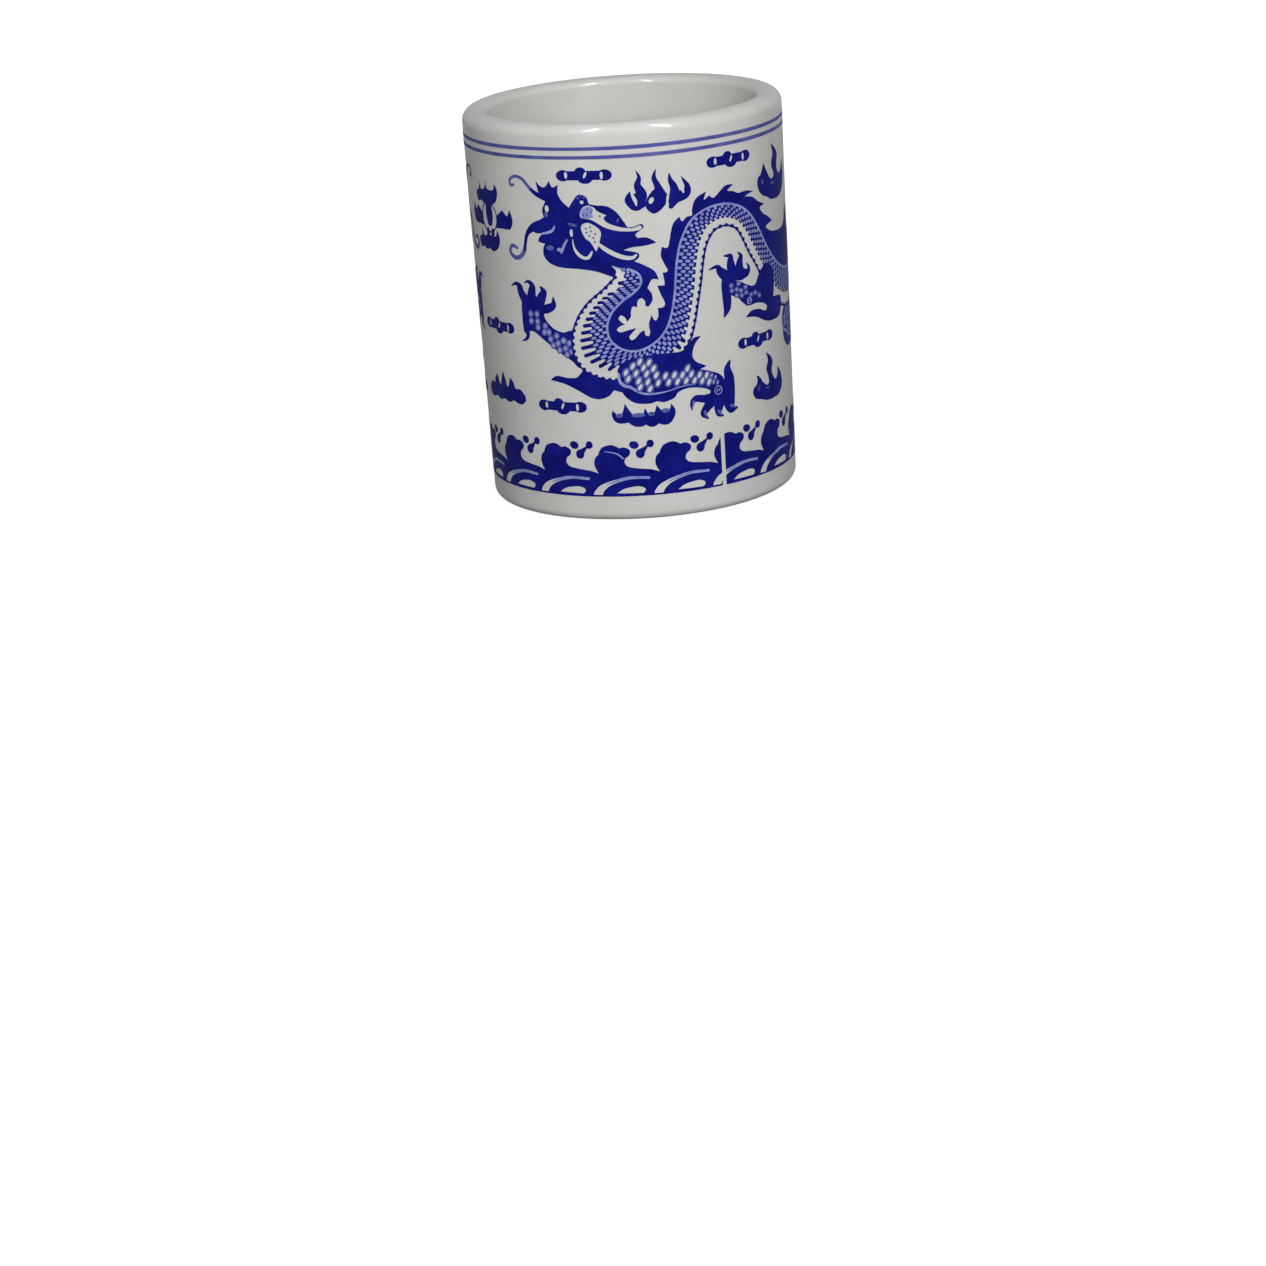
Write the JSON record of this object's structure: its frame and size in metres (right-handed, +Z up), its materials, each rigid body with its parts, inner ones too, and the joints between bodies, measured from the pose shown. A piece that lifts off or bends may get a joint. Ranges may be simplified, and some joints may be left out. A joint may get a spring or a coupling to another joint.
{
  "type": "ceramic pencil cup",
  "caption": "Round porcelain brush pot for pens and pencils, open at the top, with a rolled lip, a luted base, a bare foot ring and blue underglaze dragons, clouds, flames and waves.",
  "frame": {"origin": "centre of the foot ring, on the surface that the cup stands on", "axes": "+Z up along the axis of the cup, -Y towards the side that the picture shows, between pearl and hump"},
  "size_m": [0.085, 0.085, 0.105],
  "materials": {
    "glazed_porcelain": "clear gloss glaze over a slightly cool white body; the foot ring is bare and matt",
    "underglaze_cobalt": "cobalt blue under clear gloss glaze, darker where the print is dense, soft at its edges"
  },
  "bodies": {
    "root": {"wall": "glazed_porcelain", "base": "glazed_porcelain", "rim_line_upper": "underglaze_cobalt", "rim_line_lower": "underglaze_cobalt", "wave_border": "underglaze_cobalt", "spray_01": "underglaze_cobalt", "spray_02": "underglaze_cobalt", "spray_03": "underglaze_cobalt", "spray_04": "underglaze_cobalt", "spray_05": "underglaze_cobalt", "spray_06": "underglaze_cobalt", "spray_07": "underglaze_cobalt", "spray_08": "underglaze_cobalt", "spray_09": "underglaze_cobalt", "spray_10": "underglaze_cobalt", "spray_11": "underglaze_cobalt", "spray_12": "underglaze_cobalt", "spray_13": "underglaze_cobalt", "spray_14": "underglaze_cobalt", "spray_15": "underglaze_cobalt", "spray_16": "underglaze_cobalt", "dragon_right": "underglaze_cobalt", "dragon_left": "underglaze_cobalt", "cloud_brow_right": "underglaze_cobalt", "cloud_brow_left": "underglaze_cobalt", "cloud_hump_right": "underglaze_cobalt", "cloud_hump_left": "underglaze_cobalt", "cloud_elbow_right": "underglaze_cobalt", "cloud_elbow_left": "underglaze_cobalt", "cloud_haunch_right": "underglaze_cobalt", "cloud_haunch_left": "underglaze_cobalt", "flame_mane_right": "underglaze_cobalt", "flame_mane_left": "underglaze_cobalt", "flame_back_right": "underglaze_cobalt", "flame_back_left": "underglaze_cobalt", "flame_belly_right": "underglaze_cobalt", "flame_belly_left": "underglaze_cobalt", "flame_haunch_right": "underglaze_cobalt", "flame_haunch_left": "underglaze_cobalt", "flaming_pearl": "underglaze_cobalt", "cloud_front": "underglaze_cobalt", "flame_front": "underglaze_cobalt", "flame_tails": "underglaze_cobalt", "cloud_tails": "underglaze_cobalt"}
  },
  "joints": []
}
